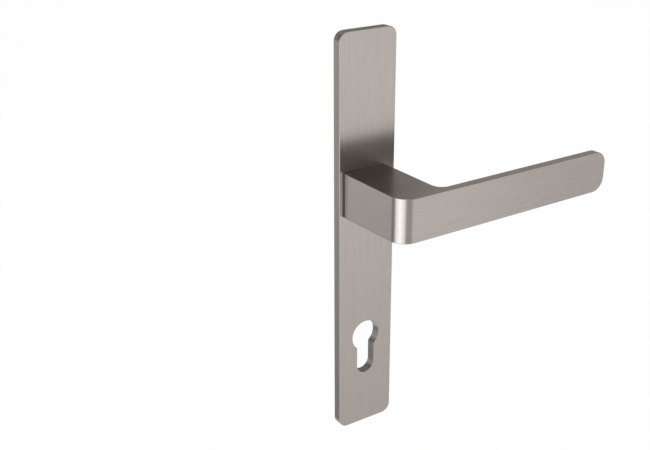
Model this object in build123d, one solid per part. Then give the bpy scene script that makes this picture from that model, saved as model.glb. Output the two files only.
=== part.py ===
# Lever door handle on a long backplate, satin nickel.
# Millimetres. X runs along the lever, Y into the door, Z up.
# The origin is on the spindle's axis, on the door's face. The plate lies in front of it, at negative Y.
import os
from build123d import *

# Plate: a thin cover over a base
plate_width = 36.7
plate_top = 88.9
plate_bottom = -147.2
plate_thickness = 5.4
plate_corner = 5.5
plate_edge_round = 0.3
cover_skin = 1.4
cover_wall = 1.5
base_rib = 3.0
base_rim = 3.2
base_pocket_depth = 2.4
base_pocket_corner = 2.0

# Cut-out for a profile cylinder below the spindle
cylinder_drop = 90.0
cylinder_radius = 9.2
slot_half_width = 5.8
slot_reach = 24.2
collar_wall = 1.2
cutout_edge_bevel = 0.3

# Lever: neck and blade
neck_left = -15.6
neck_right = 12.4
lever_front = 56.3
blade_thickness = 5.0
blade_end = 132.7
corner_half_height = 12.25
taper_along_blade = 0.0015
taper_along_neck = 0.012
outer_bend = 9.0
inner_bend = 6.0
tip_corner = 8.0
lever_edge_round = 0.3
lever_edge_bevel = 0.2

# Spindle and the lever's round end
spindle_size = 8.0
spindle_out = 19.0
spindle_in = 30.0
spindle_bevel = 0.3
spindle_corner = 0.4
shank_wall = 3.0
shank_flat_depth = 1.0
shank_out = 0.6
journal_step = 1.2
groove_depth = 0.4

# Bearing, stop and return spring
bush_wall = 0.9
bush_flange = 1.1
bush_flange_width = 2.4
washer_thickness = 0.4
washer_width = 2.0
driver_thickness = 1.2
driver_rim = 0.2
ring_thickness = 1.0
ring_width = 2.1
ring_eye = 1.7
ring_eye_turn = 16.0
ring_mouth = 2.4
travel = 45.0
stop_pin_radius = 0.9
stop_pin_bevel = 0.2
wire_radius = 0.6
wire_sides = 6
coil_turns = 1.125
coil_pitch = 1.3
leg_hook = 1.4
leg_reach = 4.5
coil_gap = 0.5
pocket_floor_thickness = 0.9

# Fixings
fixing_from_top = 18.9
fixing_from_bottom = 17.2
fixing_hole = 2.75
fixing_head = 5.2
grub_radius = 2.5
grub_length = 7.0
grub_place = 22.0
cover_grub_radius = 1.25
cover_grub_length = 6.0
cover_grub_sunk = 0.3
grub_socket_share = 0.55
grub_bevel_share = 0.17
hook_depth = 0.7
hook_height = 1.0
hook_width = 16.0

# Clearances
running_gap = 0.05
axial_play = 0.1
stop_gap = 0.1
thread_gap = 0.05
press_gap = 0.01
loose_gap = 0.3

# Radii about the spindle's axis, from the inside out
shank_flat = spindle_size / 2 + shank_wall - shank_flat_depth
shank_radius = spindle_size / 2 + shank_wall
journal_radius = shank_radius + journal_step
bush_radius = journal_radius + bush_wall
bearing_hole = bush_radius + 2 * running_gap
washer_radius = journal_radius + washer_width
stop_pin_place = washer_radius + 2 * stop_gap + stop_pin_radius
driver_radius = stop_pin_place + stop_pin_radius + driver_rim
coil_radius = driver_radius + coil_gap + wire_radius
pocket_radius = coil_radius + wire_radius + coil_gap + driver_rim

# Levels along Y, from the front to the back
cover_front = -plate_thickness
base_front = cover_front + cover_skin
flange_front = cover_front - bush_flange
neck_foot = flange_front - axial_play
pocket_floor = base_front + pocket_floor_thickness
shank_step = pocket_floor + washer_thickness
driver_back = shank_step + driver_thickness
ring_back = driver_back + running_gap + ring_thickness

# Directions and places that follow from the sizes
plate_middle = (plate_top + plate_bottom) / 2
plate_height = plate_top - plate_bottom
fixing_heights = (plate_top - fixing_from_top, plate_bottom + fixing_from_bottom)
notch_middle = 90.0
leg_turn = -90.0 - 360 * coil_turns
axis = Plane(origin=(0, 0, 0), x_dir=(1, 0, 0), z_dir=(0, 1, 0))
face = Plane.XZ
standing = (Align.CENTER, Align.CENTER, Align.MIN)
hanging = (Align.CENTER, Align.CENTER, Align.MAX)


def disc(radius, start, end):
    """A round bar about the spindle's axis between two levels along Y."""
    return axis * Pos(0, 0, start) * Cylinder(radius, end - start, align=standing)


def slab(sketch, start, end):
    """A sketch drawn on the door's face, made solid between two levels along Y."""
    return extrude(face.offset(-end) * sketch, amount=end - start)


def ring_slab(sketch, start, end):
    """A sketch drawn round the spindle's axis, made solid between two levels along Y."""
    return extrude(axis.offset(start) * sketch, amount=end - start)


def plate_outline(inset):
    """The plate's outline, drawn in by a distance."""
    outline = RectangleRounded(plate_width - 2 * inset, plate_height - 2 * inset, plate_corner - inset)
    return Pos(0, plate_middle) * outline


def cutout_outline(grow):
    """The cylinder's outline: a circle with a round-ended slot below it."""
    slot_drop = slot_reach - slot_half_width
    slot = Pos(0, -slot_drop / 2) * Rectangle(2 * (slot_half_width + grow), slot_drop)
    foot = Pos(0, -slot_drop) * Circle(slot_half_width + grow)
    return Pos(0, -cylinder_drop) * (Circle(cylinder_radius + grow) + slot + foot)


def double_flat(radius, flat):
    """A circle with two opposite flats, above and below."""
    return Circle(radius) & Rectangle(4 * radius, 2 * flat)


def hook_rib(grow):
    """The lip inside the cover's top wall that hooks the base."""
    size = (hook_width + 2 * grow, hook_height + 2 * grow, 2 * (hook_depth + grow))
    return Pos(0, base_front / 2, plate_top - cover_wall) * Box(*size)


def cover_grub_bar(radius, depth):
    """A bar up into the bottom edge, where the cover's grub screw sits."""
    return Pos(0, base_front / 2, plate_bottom) * Cylinder(radius, depth, align=standing)


def make_cover_plate():
    """Die-cast shell: skin, four walls and a collar round the cut-out."""
    body = slab(plate_outline(0), cover_front, 0)
    body = fillet(body.faces().sort_by(Axis.Y)[0].edges(), plate_edge_round)
    body -= slab(plate_outline(cover_wall), base_front, 0)
    body += slab(cutout_outline(collar_wall), base_front - cover_skin / 2, 0)
    body += hook_rib(0)
    body -= slab(cutout_outline(0), cover_front, 0)
    front = body.faces().sort_by(Axis.Y)[0]
    body = chamfer(front.inner_wires()[0].edges(), cutout_edge_bevel)
    body -= disc(bearing_hole, cover_front, base_front)
    return body - cover_grub_bar(cover_grub_radius + thread_gap, 2 * cover_wall)


def base_cells():
    """The base's back pockets, two above the spindle and two below, with a rib between them."""
    upper = (pocket_radius + leg_reach + base_rim, fixing_heights[0] - fixing_head - base_rim)
    collar_top = -cylinder_drop + cylinder_radius + collar_wall
    lower = (collar_top + base_rim, -pocket_radius - base_rim)
    width = plate_width - 2 * (cover_wall + loose_gap + base_rim)
    for bottom, top in (upper, lower):
        height = (top - bottom - base_rib) / 2
        for middle in (bottom + height / 2, top - height / 2):
            yield Pos(0, middle) * RectangleRounded(width, height, base_pocket_corner)


def make_base_plate():
    """Die-cast carrier inside the cover, pocketed at the back."""
    body = slab(plate_outline(cover_wall + loose_gap), base_front, 0)
    body -= slab(cutout_outline(collar_wall + loose_gap), base_front, 0)
    body -= disc(pocket_radius, pocket_floor, 0)
    body -= disc(bearing_hole, base_front, 0)
    for height in fixing_heights:
        place = face.offset(-base_front) * Pos(0, height)
        body -= place * CounterSinkHole(fixing_hole, fixing_head, depth=2 * plate_thickness)
    for cell in base_cells():
        body -= slab(cell, -base_pocket_depth, 0)
    leg_slot = Rectangle(2 * (wire_radius + loose_gap), leg_reach + 2 * loose_gap)
    body -= slab(Pos(0, coil_radius + leg_reach / 2) * leg_slot, pocket_floor, 0)
    body -= axis * stop_place() * Cylinder(stop_pin_radius + press_gap, 2 * plate_thickness)
    body -= hook_rib(loose_gap)
    return body - cover_grub_bar(cover_grub_radius + thread_gap, cover_grub_length + cover_wall)


def stop_place():
    """Where the stop pin stands: at the notch's end while the lever rests."""
    return Rot(0, 0, notch_middle + travel / 2) * Pos(stop_pin_place, 0)


def make_stop_pin():
    """Steel pin pressed into the base's floor, standing in the driver's notch."""
    pin = Cylinder(stop_pin_radius, driver_back - base_front, align=standing)
    pin = chamfer(pin.edges().group_by(Axis.Z)[-1], stop_pin_bevel)
    return axis * Pos(0, 0, base_front) * stop_place() * pin


def make_bearing_bush():
    """Moulded bush: sleeve through both plates and a flange under the neck."""
    body = disc(bush_radius + bush_flange_width, flange_front, cover_front)
    body += disc(bush_radius, cover_front, pocket_floor)
    return body - disc(journal_radius + running_gap, flange_front, pocket_floor)


def make_thrust_washer():
    """Moulded washer between the base's floor and the driver."""
    washer = disc(washer_radius, pocket_floor, shank_step)
    return washer - disc(journal_radius + running_gap, pocket_floor, shank_step)


def stop_notch():
    """The driver's notch: as long as the travel, with room for the pin at both ends."""
    half_width = stop_pin_radius + stop_gap
    reach = 2 * driver_radius
    end = Pos(stop_pin_place, 0) * Circle(half_width)
    end += Pos(stop_pin_place + reach / 2, 0) * Rectangle(reach, 2 * half_width)
    band = Circle(reach) - Circle(stop_pin_place - half_width)
    first, last = notch_middle - travel / 2, notch_middle + travel / 2
    corners = [Vector(4 * reach, 0).rotate(Axis.Z, turn) for turn in (first, last)]
    wedge = make_face(Polyline((0, 0), *corners, close=True))
    return (band & wedge) + Rot(0, 0, first) * end + Rot(0, 0, last) * end


def make_spring_driver():
    """Stamped ring keyed to the shank's flats, with a notch for the stop pin."""
    sheet = Circle(driver_radius) - double_flat(shank_radius + running_gap, shank_flat + running_gap)
    leg_slot = Rectangle(2 * (leg_hook + loose_gap), 2 * (wire_radius + stop_gap))
    sheet -= Rot(0, 0, leg_turn) * Pos(driver_radius, 0) * leg_slot
    return ring_slab(sheet - stop_notch(), shank_step, driver_back)


def wire_section():
    """The wire's section: a hexagon is round enough for a piece that stays hidden."""
    return RegularPolygon(wire_radius, wire_sides)


def coil_arc(half, turn):
    """One arc of the coil: a half turn leans so that its ends meet the next half turns smoothly."""
    side = 1 if half % 2 == 0 else -1
    middle = Vector(0, 0, coil_pitch * (2 * half + 1) / 4)
    outward = Vector(side * coil_radius, 0, -coil_pitch / 4)
    along = Vector(0, side, 0)
    start = Plane(origin=middle + outward, x_dir=outward.normalized(), z_dir=along)
    turn_axis = Axis(middle, outward.cross(along))
    return revolve(start * wire_section(), turn_axis, turn), start.location.position.rotate(turn_axis, turn)


def wire_leg(length, tilt):
    """A straight end of the wire, laid along the radius, that fills the knee at the coil's end."""
    return Rot(0, tilt, 0) * Pos(0, 0, -wire_radius) * extrude(wire_section(), amount=wire_radius + length)


def make_return_spring():
    """Wound wire: one leg hooks the driver, the other the base."""
    spring, left = None, 360 * coil_turns
    for half in range(int(2 * coil_turns) + 1):
        arc, end = coil_arc(half, min(180, left))
        spring = arc if spring is None else spring + arc
        left -= 180
    rest_turn = 360 * coil_turns
    spring += Pos(coil_radius, 0, 0) * wire_leg(coil_radius - driver_radius + leg_hook, -90)
    spring += Pos(end.X, end.Y, end.Z) * Rot(0, 0, rest_turn) * wire_leg(leg_reach, 90)
    coil_start = (shank_step + driver_back) / 2
    return axis * Pos(0, 0, coil_start) * Rot(0, 0, leg_turn) * spring


def make_retaining_ring():
    """Shaft ring with two eyes for pliers."""
    inside = Circle(shank_radius - groove_depth + running_gap)
    outer_radius = shank_radius - groove_depth + ring_width
    sheet = Circle(outer_radius)
    eyes = [Rot(0, 0, -90 + side * ring_eye_turn) * Pos(outer_radius, 0) for side in (-1, 1)]
    for eye in eyes:
        sheet += eye * Circle(ring_eye)
    sheet -= inside
    for eye in eyes:
        sheet -= eye * Circle(ring_eye / 2)
    sheet -= Pos(0, -outer_radius) * Rectangle(ring_mouth, 2 * outer_radius)
    return ring_slab(sheet, driver_back + running_gap, ring_back)


def lever_plan():
    """The lever seen from above: neck block, rounded outer corner, blade, inner fillet."""
    front, back = -lever_front, -lever_front + blade_thickness
    points = [(neck_left, neck_foot), (neck_left, front), (blade_end, front), (blade_end, back)]
    points += [(neck_right, back), (neck_right, neck_foot)]
    plan = make_face(Polyline(*points, close=True))
    outer = plan.vertices().sort_by_distance((neck_left, front, 0))[0]
    plan = fillet(outer, outer_bend)
    inner = plan.vertices().sort_by_distance((neck_right, back, 0))[0]
    return fillet(inner, inner_bend)


def draft_plane(side):
    """The lever's top or bottom face: it closes in a little along neck and blade."""
    normal = Vector(taper_along_blade, -taper_along_neck, side).normalized()
    return Plane(origin=(neck_left, -lever_front, side * corner_half_height), z_dir=normal)


def lever_rims(body, in_front):
    """The rims of the lever's outer or inner side: all their edges but the foot and the upright corners."""
    neck_middle, blade_middle = (neck_left + neck_right) / 2, -lever_front + blade_thickness / 2
    for edge in body.edges():
        middle, along = edge.center(), edge.tangent_at(0.5)
        at_foot = abs(middle.Y - neck_foot) < running_gap
        upright = abs(along.Z) > 0.5 and middle.X < blade_end - tip_corner
        across = abs(along.Y) > 0.5 and middle.X > blade_end - 2 * tip_corner
        outer = middle.X < neck_middle or middle.Y < blade_middle
        if outer == in_front and not at_foot and not upright and not across:
            yield edge


def make_lever():
    """One casting: neck, blade, journal, shank and the square socket."""
    body = extrude(lever_plan(), amount=2 * corner_half_height, both=True)
    for side in (1, -1):
        body = split(body, bisect_by=draft_plane(side), keep=Keep.BOTTOM)
    end_edges = body.faces().sort_by(Axis.X)[-1].edges().sort_by(Axis.Z)
    body = fillet([end_edges[0], end_edges[-1]], tip_corner)
    body = fillet(list(lever_rims(body, True)), lever_edge_round)
    body = chamfer(list(lever_rims(body, False)), lever_edge_bevel)
    body += disc(journal_radius, neck_foot, shank_step)
    shank = ring_slab(double_flat(shank_radius, shank_flat), shank_step, shank_out)
    groove_end = ring_back + running_gap
    groove = disc(2 * shank_radius, driver_back, groove_end)
    body += shank - (groove - disc(shank_radius - groove_depth, driver_back, groove_end))
    socket_size = spindle_size + 2 * running_gap
    body -= ring_slab(Rectangle(socket_size, socket_size), -spindle_in - loose_gap, shank_out)
    grub_hole = Cylinder(grub_radius + thread_gap, 2 * corner_half_height, align=hanging)
    return body - Pos(0, -grub_place, 0) * grub_hole


def make_spindle():
    """Half spindle: square bar, broken corners, bevelled end."""
    section = chamfer(Rectangle(spindle_size, spindle_size).vertices(), spindle_corner)
    bar = ring_slab(section, -spindle_in, spindle_out)
    return chamfer(bar.faces().sort_by(Axis.Y)[-1].edges(), spindle_bevel)


def hex_grub(radius, length):
    """Headless screw standing on its socket end, with a hexagon socket."""
    screw = Cylinder(radius, length, align=standing)
    screw = chamfer(screw.edges().filter_by(GeomType.CIRCLE), grub_bevel_share * radius)
    return screw - extrude(RegularPolygon(grub_socket_share * radius, 6), amount=length / 2)


def make_lever_grub_screw():
    """Locks the spindle in the neck from below."""
    return Pos(0, -grub_place, -spindle_size / 2 - grub_length) * hex_grub(grub_radius, grub_length)


def make_cover_grub_screw():
    """Holds the cover on the base at the bottom edge."""
    screw = hex_grub(cover_grub_radius, cover_grub_length)
    return Pos(0, base_front / 2, plate_bottom + cover_grub_sunk) * screw


pieces = {
    "cover_plate": make_cover_plate(),
    "base_plate": make_base_plate(),
    "bearing_bush": make_bearing_bush(),
    "thrust_washer": make_thrust_washer(),
    "stop_pin": make_stop_pin(),
    "spring_driver": make_spring_driver(),
    "return_spring": make_return_spring(),
    "retaining_ring": make_retaining_ring(),
    "lever": make_lever(),
    "spindle": make_spindle(),
    "lever_grub_screw": make_lever_grub_screw(),
    "cover_grub_screw": make_cover_grub_screw(),
}

os.makedirs("parts", exist_ok=True)
for name, shape in pieces.items():
    export_step(shape, f"parts/{name}.step")
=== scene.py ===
import math

import bpy
from mathutils import Matrix, Vector


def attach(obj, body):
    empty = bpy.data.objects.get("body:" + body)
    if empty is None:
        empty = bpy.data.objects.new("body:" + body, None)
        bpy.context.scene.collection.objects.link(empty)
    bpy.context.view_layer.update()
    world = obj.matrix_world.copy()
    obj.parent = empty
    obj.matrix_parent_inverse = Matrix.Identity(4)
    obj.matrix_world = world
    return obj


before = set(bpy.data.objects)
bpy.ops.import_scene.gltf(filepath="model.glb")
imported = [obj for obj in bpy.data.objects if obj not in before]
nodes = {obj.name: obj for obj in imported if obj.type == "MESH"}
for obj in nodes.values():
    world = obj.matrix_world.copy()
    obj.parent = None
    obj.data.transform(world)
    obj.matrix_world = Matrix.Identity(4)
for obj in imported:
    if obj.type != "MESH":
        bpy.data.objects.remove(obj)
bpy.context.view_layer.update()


# Base plate
# A raw zinc die casting that is screwed to the door and carries everything else.
# It is left as it comes out of the die: dull grey, with a faint skin of flow marks.
zinc_dark = (0.33, 0.34, 0.35)
zinc_light = (0.46, 0.47, 0.48)


class Shade:
    """A shader socket that can be used in sums: each operator adds a Math node."""

    def __init__(self, tree, socket=None):
        self.tree = tree
        self.socket = socket

    def add(self, kind, settings, inputs, output=0):
        """Adds a node with its settings and the values or links of its sockets."""
        node = self.tree.nodes.new(kind)
        for name, value in settings.items():
            setattr(node, name, value)
        for name, value in inputs.items():
            if isinstance(value, Shade):
                self.tree.links.new(value.socket, node.inputs[name])
            else:
                node.inputs[name].default_value = value
        return Shade(self.tree, node.outputs[output]) if len(node.outputs) else None

    def math(self, operation, first, second):
        return self.add("ShaderNodeMath", {"operation": operation}, {0: first, 1: second})

    def __add__(self, other):
        return self.math("ADD", self, other)

    def __sub__(self, other):
        return self.math("SUBTRACT", self, other)

    def __rsub__(self, other):
        return self.math("SUBTRACT", other, self)

    def __mul__(self, other):
        return self.math("MULTIPLY", self, other)

    __radd__ = __add__
    __rmul__ = __mul__

    def noise(self, scale, stretch, detail):
        """Noise on the piece's own coordinates, stretched along each axis."""
        place = self.add("ShaderNodeTexCoord", {}, {}, "Object")
        place = self.add("ShaderNodeMapping", {}, {"Vector": place, "Scale": stretch})
        return self.add("ShaderNodeTexNoise", {}, {"Vector": place, "Scale": scale, "Detail": detail})

    def blend(self, amount, first, second):
        """A colour between two colours that vary."""
        return self.add("ShaderNodeMix", {"data_type": "RGBA"}, {0: amount, 6: first, 7: second}, 2)

    def between(self, amount, first, second):
        """A colour between two fixed colours."""
        return self.blend(amount, (*first, 1), (*second, 1))

    def bump(self, height, strength, distance):
        inputs = {"Height": height, "Strength": strength, "Distance": distance}
        return self.add("ShaderNodeBump", {}, inputs)


def new_material(name):
    """An empty node material and the shade that builds it."""
    material = bpy.data.materials.new(name)
    material.use_nodes = True
    material.node_tree.nodes.clear()
    return material, Shade(material.node_tree)


def principled(shade, inputs):
    """Puts a surface with these inputs on the material's output."""
    surface = shade.add("ShaderNodeBsdfPrincipled", {}, inputs)
    shade.add("ShaderNodeOutputMaterial", {}, {"Surface": surface})


def dress(name, material):
    """Gives a CAD node its finish."""
    piece = nodes[name]
    piece.data.materials.clear()
    piece.data.materials.append(material)


def cast_zinc():
    material, shade = new_material("cast_zinc")
    flow = shade.noise(scale=60, stretch=(1, 1, 0.4), detail=4)
    pits = shade.noise(scale=900, stretch=(1, 1, 1), detail=2)
    principled(shade, {
        "Base Color": shade.between(flow, zinc_dark, zinc_light),
        "Metallic": 0.85,
        "Roughness": 0.5 + flow * 0.15,
        "Normal": shade.bump(pits, strength=0.15, distance=0.0003),
    })
    return material


dress("base_plate", cast_zinc())


# Stop pin, spring driver and spindle
# Bright zinc-plated steel: a pressed-in pin, a stamped ring and a drawn square bar.
# The plating is smooth and faintly blue, with fine drawing lines along the bar.
plating_dark = (0.50, 0.51, 0.53)
plating_light = (0.62, 0.63, 0.64)


def plated_steel(name, stretch):
    material, shade = new_material(name)
    lines = shade.noise(scale=300, stretch=stretch, detail=3)
    cloud = shade.noise(scale=90, stretch=(1, 1, 1), detail=2)
    principled(shade, {
        "Base Color": shade.between(cloud, plating_dark, plating_light),
        "Metallic": 1.0,
        "Roughness": 0.24 + lines * 0.16,
        "Normal": shade.bump(lines, strength=0.06, distance=0.0002),
    })
    return material


stamped_steel = plated_steel("plated_stamping", stretch=(1, 0.2, 1))
dress("stop_pin", stamped_steel)
dress("spring_driver", stamped_steel)
dress("spindle", plated_steel("plated_bar", stretch=(4, 0.1, 4)))


# Bearing bush and thrust washer
# Black acetal mouldings that keep the lever's journal off the metal.
# They have a fine moulded grain and a soft sheen.
acetal_dark = (0.012, 0.012, 0.013)
acetal_light = (0.03, 0.03, 0.032)


def acetal(name, dark, light):
    material, shade = new_material(name)
    grain = shade.noise(scale=1500, stretch=(1, 1, 1), detail=3)
    principled(shade, {
        "Base Color": shade.between(grain, dark, light),
        "Roughness": 0.38 + grain * 0.15,
        "Normal": shade.bump(grain, strength=0.1, distance=0.0001),
    })
    return material


black_acetal = acetal("black_acetal", acetal_dark, acetal_light)
dress("bearing_bush", black_acetal)
dress("thrust_washer", black_acetal)


# Cover plate
# A thin zinc shell that hides the base: nickel plated, then brushed up and down on a belt.
# The belt only reaches the face, so the side walls, the cut-out and its edge keep a rougher plating;
# their darker colour is painted shade.
cutout_middle = -0.0975
cutout_half_height = 0.019
cutout_half_width = 0.012
nickel_dark = (0.365, 0.328, 0.300)
nickel_light = (0.520, 0.475, 0.440)
painted_wall_shade_dark = (0.308, 0.285, 0.265)
painted_wall_shade_light = (0.422, 0.393, 0.366)


def brush_lines(shade, fine_stretch, broad_stretch, streaks):
    """The belt's lines: fine scratches over a share of broad, long streaks."""
    fine = shade.noise(scale=1, stretch=fine_stretch, detail=2)
    broad = shade.noise(scale=1, stretch=broad_stretch, detail=2)
    return fine * (1 - streaks) + broad * streaks


def brushed_face():
    """Brushed on the face, rougher and darker where the surface turns away from it into a wall; the
    darker colour is painted shade.
    """
    material, shade = new_material("nickel_brushed_upright")
    lines = brush_lines(shade, fine_stretch=(2400, 2400, 45), broad_stretch=(420, 420, 14), streaks=0.26)
    facing = shade.add("ShaderNodeTexCoord", {}, {}, "Normal")
    facing = shade.add("ShaderNodeSeparateXYZ", {}, {"Vector": facing}, "Y")
    wall = shade.math("MINIMUM", 1 - facing * facing, 1.0)
    place = shade.add("ShaderNodeTexCoord", {}, {}, "Object")
    across = shade.add("ShaderNodeSeparateXYZ", {}, {"Vector": place}, "X")
    along = shade.add("ShaderNodeSeparateXYZ", {}, {"Vector": place}, "Z") - cutout_middle
    in_width = shade.math("LESS_THAN", across * across, cutout_half_width ** 2)
    in_height = shade.math("LESS_THAN", along * along, cutout_half_height ** 2)
    # 1 half way round the edge of the cut-out, where the face becomes a wall.
    cutout_edge = wall * (1 - wall) * 4 * in_width * in_height
    face_colour = shade.between(lines, nickel_dark, nickel_light)
    # Painted shade: the walls and the cut-out's edge get this darker copy of the nickel colour.
    painted_wall_shade_colour = shade.between(lines, painted_wall_shade_dark, painted_wall_shade_light)
    principled(shade, {
        "Base Color": shade.blend(shade.math("MAXIMUM", wall, cutout_edge), face_colour, painted_wall_shade_colour),
        "Metallic": 1.0,
        "Roughness": 0.22 + lines * 0.08 + wall * 0.08 + cutout_edge * 0.35,
        "Anisotropic": 0.7,
        "Normal": shade.bump(lines, strength=0.03, distance=0.0001),
    })
    return material


dress("cover_plate", brushed_face())


# Lever
# One zinc casting, neck and blade together, plated with the plate and brushed along its length.
# The lines run level round the neck, the rounded corner and the blade.
lever_dark = (0.365, 0.325, 0.303)
lever_light = (0.520, 0.471, 0.444)


def brushed_lever():
    material, shade = new_material("nickel_brushed_along")
    lines = brush_lines(shade, fine_stretch=(60, 60, 2400), broad_stretch=(20, 20, 420), streaks=0.14)
    principled(shade, {
        "Base Color": shade.between(lines, lever_dark, lever_light),
        "Metallic": 1.0,
        "Roughness": 0.26 + lines * 0.08,
        "Anisotropic": 0.45,
        "Anisotropic Rotation": 0.25,
        "Normal": shade.bump(lines, strength=0.03, distance=0.0001),
    })
    return material


dress("lever", brushed_lever())


# Neck pad
# A thin brown moulding that fills the gap between the neck's foot and the plate and turns with the lever.
# Its dark colour is painted shade, set to the dark strip at the neck's foot.
# It is cut a hair inside the neck's outline, has a round hole for the bush's flange, and is glued on.
pad_inset = 0.0001
pad_gap = 0.00015
pad_corner = 0.0004
hole_sides = 96
# Painted shade: the pad's dark brown stands in for the shaded strip by the neck's foot.
pad_shade_dark = (0.052, 0.044, 0.033)
pad_shade_light = (0.073, 0.062, 0.047)


def node_points(name):
    """The places of a CAD node's vertices."""
    return [vertex.co for vertex in nodes[name].data.vertices]


def reach(points, axis):
    """The lowest and the highest place of some points along an axis."""
    places = [point[axis] for point in points]
    return min(places), max(places)


across_plate, into_door, upward = range(3)
cover_front = reach(node_points("cover_plate"), into_door)[0]
flange_radius = reach(node_points("bearing_bush"), across_plate)[1]
neck_points = [point for point in node_points("lever") if math.hypot(point.x, point.z) > flange_radius]
neck_foot = reach(neck_points, into_door)[1]
foot_points = [point for point in neck_points if point.y > neck_foot - pad_inset]
foot_left, foot_right = reach(foot_points, across_plate)
foot_bottom, foot_top = reach(foot_points, upward)
pad_back = cover_front - pad_gap
pad_middle = ((foot_left + foot_right) / 2, (neck_foot + pad_back) / 2, (foot_bottom + foot_top) / 2)
pad_width = foot_right - foot_left - 2 * pad_inset
pad_height = foot_top - foot_bottom - 2 * pad_inset

bpy.ops.object.select_all(action="DESELECT")
bpy.ops.mesh.primitive_cube_add(size=1, location=pad_middle)
neck_pad = bpy.context.object
neck_pad.name = "neck_pad"
neck_pad.scale = (pad_width, pad_back - neck_foot, pad_height)
bpy.ops.object.transform_apply(location=True, rotation=True, scale=True)

bpy.ops.object.mode_set(mode="EDIT")
bpy.ops.mesh.select_mode(type="EDGE")
bpy.ops.mesh.select_all(action="DESELECT")
bpy.ops.object.mode_set(mode="OBJECT")
# The four edges that run into the door are rounded.
for edge in neck_pad.data.edges:
    first, second = (neck_pad.data.vertices[index].co for index in edge.vertices)
    edge.select = abs(first.y - second.y) > pad_gap
bpy.ops.object.mode_set(mode="EDIT")
bpy.ops.mesh.bevel(offset=pad_corner, segments=3)
bpy.ops.object.mode_set(mode="OBJECT")

bpy.ops.object.select_all(action="DESELECT")
bpy.ops.mesh.primitive_cylinder_add(
    vertices=hole_sides, radius=flange_radius + pad_gap, depth=flange_radius,
    location=(0, neck_foot, 0), rotation=(math.radians(90), 0, 0))
flange_hole = bpy.context.object
bpy.context.view_layer.objects.active = neck_pad
cut = neck_pad.modifiers.new("flange_hole", "BOOLEAN")
cut.operation = "DIFFERENCE"
cut.object = flange_hole
bpy.ops.object.modifier_apply(modifier=cut.name)
bpy.data.objects.remove(flange_hole)

neck_pad.select_set(True)
bpy.ops.object.shade_smooth_by_angle(angle=math.radians(30))
neck_pad.data.materials.clear()
neck_pad.data.materials.append(acetal("brown_acetal_and_painted_shade", pad_shade_dark, pad_shade_light))
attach(neck_pad, "lever")


# Return spring and retaining ring
# Oiled spring steel: wound wire behind the plate and a stamped ring in the shank's groove.
# Nearly black, with a satin gloss from the oil.
spring_dark = (0.10, 0.10, 0.105)
spring_light = (0.20, 0.195, 0.19)


def spring_steel():
    material, shade = new_material("oiled_spring_steel")
    stain = shade.noise(scale=200, stretch=(1, 1, 1), detail=3)
    principled(shade, {
        "Base Color": shade.between(stain, spring_dark, spring_light),
        "Metallic": 1.0,
        "Roughness": 0.28 + stain * 0.14,
        "Normal": shade.bump(stain, strength=0.05, distance=0.0001),
    })
    return material


oiled_steel = spring_steel()
dress("return_spring", oiled_steel)
dress("retaining_ring", oiled_steel)


# Grub screws
# Black oxide steel screws with a hexagon socket, in the neck's underside and the plate's bottom edge.
# The oxide is matt, and rubbed a little brighter in places.
oxide_dark = (0.018, 0.018, 0.02)
oxide_light = (0.06, 0.06, 0.062)


def black_oxide():
    material, shade = new_material("black_oxide")
    rub = shade.noise(scale=700, stretch=(1, 1, 1), detail=3)
    principled(shade, {
        "Base Color": shade.between(rub, oxide_dark, oxide_light),
        "Metallic": 0.9,
        "Roughness": 0.35 + rub * 0.2,
        "Normal": shade.bump(rub, strength=0.08, distance=0.0001),
    })
    return material


oxide = black_oxide()
dress("lever_grub_screw", oxide)
dress("cover_grub_screw", oxide)


# Studio
# A white floor and surround, and a ring of cards round the object that show only in its reflections.
# A soft box on the left gives the bright line on the lever's corner, and grey cards the darker sides.
floor_height = -0.62
floor_size = 14.0
floor_white = 0.975
paper_dark = (0.86, 0.86, 0.86)
paper_light = (0.9, 0.9, 0.9)
surround_fill = 0.6


def seen_directly(shade):
    """1 for the rays that show the background itself: camera, glossy and transmission."""
    rays = [shade.add("ShaderNodeLightPath", {}, {}, kind) for kind in
            ("Is Camera Ray", "Is Glossy Ray", "Is Transmission Ray")]
    return shade.math("MINIMUM", rays[0] + rays[1] + rays[2], 1.0)


def white_floor():
    material, shade = new_material("studio_floor")
    paper = shade.noise(scale=3, stretch=(1, 1, 1), detail=2)
    paper_colour = shade.between(paper, paper_dark, paper_light)
    sheet = shade.add("ShaderNodeBsdfDiffuse", {}, {"Color": paper_colour})
    glow = shade.add("ShaderNodeEmission", {}, {"Color": (1, 1, 1, 1), "Strength": 1.0})
    mix = shade.add("ShaderNodeMixShader", {}, {0: seen_directly(shade) * floor_white, 1: sheet, 2: glow})
    shade.add("ShaderNodeOutputMaterial", {}, {"Surface": mix})
    return material


bpy.ops.object.select_all(action="DESELECT")
bpy.ops.mesh.primitive_plane_add(size=floor_size, location=(0, 0, floor_height))
floor = bpy.context.object
floor.name = "studio_floor"
floor.data.materials.append(white_floor())

world = bpy.data.worlds.new("studio_surround")
bpy.context.scene.world = world
world.use_nodes = True
world.node_tree.nodes.clear()
surround = Shade(world.node_tree)
brightness = surround_fill + seen_directly(surround) * (1 - surround_fill)
background = surround.add("ShaderNodeBackground", {}, {"Color": (1, 1, 1, 1), "Strength": brightness})
surround.add("ShaderNodeOutputWorld", {}, {"Surface": background})

ring_radius = 0.6
low_cards = (-0.6, 0.08)
high_cards = (0.08, 0.8)
soft_cards = (-0.6, 0.5)
cool = (0.945, 1.01, 1.035)
warm = (1.02, 0.97, 0.91)


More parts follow.
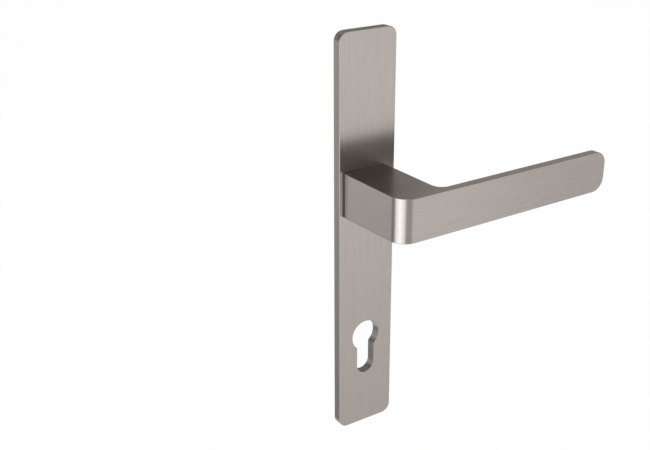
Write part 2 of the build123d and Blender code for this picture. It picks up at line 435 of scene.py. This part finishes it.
def card(name, azimuths, heights, below, above, tint=(1, 1, 1)):
    """A glowing card of the ring, with its levels at the bottom and the top edge.

    Azimuth 0 is in front of the plate and 90 to its right.
    """
    middle = math.radians(sum(azimuths) / 2)
    half_angle = math.radians(azimuths[1] - azimuths[0]) / 2
    distance = ring_radius * math.cos(half_angle)
    place = (distance * math.sin(middle), -distance * math.cos(middle), sum(heights) / 2)
    bpy.ops.object.select_all(action="DESELECT")
    bpy.ops.mesh.primitive_plane_add(size=1, location=place, rotation=(math.radians(90), 0, middle))
    sheet = bpy.context.object
    sheet.name = name
    sheet.scale = (2 * ring_radius * math.sin(half_angle), heights[1] - heights[0], 1)
    material, shade = new_material(name)
    spot = shade.add("ShaderNodeTexCoord", {}, {}, "Object")
    drop = 0.5 - shade.add("ShaderNodeSeparateXYZ", {}, {"Vector": spot}, "Y")
    colour_above = [above * part for part in tint]
    colour_below = [below * part for part in tint]
    tone = shade.between(drop * drop, colour_above, colour_below)
    glow = shade.add("ShaderNodeEmission", {}, {"Color": tone, "Strength": 1.0})
    shade.add("ShaderNodeOutputMaterial", {}, {"Surface": glow})
    sheet.data.materials.append(material)
    sheet.visible_camera = False
    sheet.visible_diffuse = False
    sheet.visible_shadow = False


card("soft_box_left", (-100, -80), soft_cards, below=1.8, above=1.95, tint=cool)
card("soft_box", (-80, -52), soft_cards, below=2.38, above=2.58, tint=cool)
card("soft_box_right", (-52, -32), soft_cards, below=1.75, above=1.9, tint=cool)
card("low_front_left", (-32, -14), low_cards, below=0.5, above=0.58)
card("low_front", (-14, 10), low_cards, below=0.5, above=0.62)
card("low_front_right", (10, 45), low_cards, below=0.81, above=1.15)
card("low_right", (45, 80), low_cards, below=0.55, above=0.84)
card("low_side_right", (80, 120), low_cards, below=0.5, above=0.6)
card("low_back_right", (120, 170), low_cards, below=0.28, above=0.36)
card("low_back", (-190, -150), low_cards, below=0.25, above=0.42)
card("low_back_left", (-150, -129), low_cards, below=0.2, above=0.975)
card("low_side_left", (-129, -100), low_cards, below=0.25, above=0.3)
card("high_front_right", (-20, 80), high_cards, below=0.08, above=0.14, tint=warm)
card("high_back_right", (80, 135), high_cards, below=0.39, above=0.46, tint=warm)
card("high_back", (135, 190), high_cards, below=0.26, above=0.32, tint=warm)
card("high_back_left", (-170, -125), high_cards, below=0.12, above=0.2, tint=warm)


def lamp(name, energy, size, place, aim):
    """A soft square lamp that looks at a point."""
    data = bpy.data.lights.new(name, "AREA")
    data.energy = energy
    data.size = size
    light = bpy.data.objects.new(name, data)
    bpy.context.scene.collection.objects.link(light)
    direction = Vector(aim) - Vector(place)
    light.location = place
    light.rotation_euler = direction.to_track_quat("-Z", "Y").to_euler()
    light.visible_glossy = False


lamp("top_lamp", energy=14, size=1.2, place=(-0.5, -0.7, 1.3), aim=(0, 0, -0.05))


# Camera
# Stands to the left of the plate and above it, at the photograph's viewing angle.
# The place, angles and lens come from a fit of the plate's and the lever's straight edges.
camera_place = (-0.30500, -0.41935, 0.18822)
camera_azimuth = -33.787
camera_elevation = 22.106
camera_roll = -0.394
lens = 55.05
sensor_width = 36.0

camera_data = bpy.data.cameras.new("camera")
camera_data.lens = lens
camera_data.sensor_width = sensor_width
camera = bpy.data.objects.new("camera", camera_data)
bpy.context.scene.collection.objects.link(camera)
camera.matrix_world = (
    Matrix.Translation(camera_place)
    @ Matrix.Rotation(math.radians(camera_azimuth), 4, "Z")
    @ Matrix.Rotation(math.radians(90 - camera_elevation), 4, "X")
    @ Matrix.Rotation(math.radians(camera_roll), 4, "Z")
)
bpy.context.scene.camera = camera
bpy.context.scene.view_settings.view_transform = "Standard"
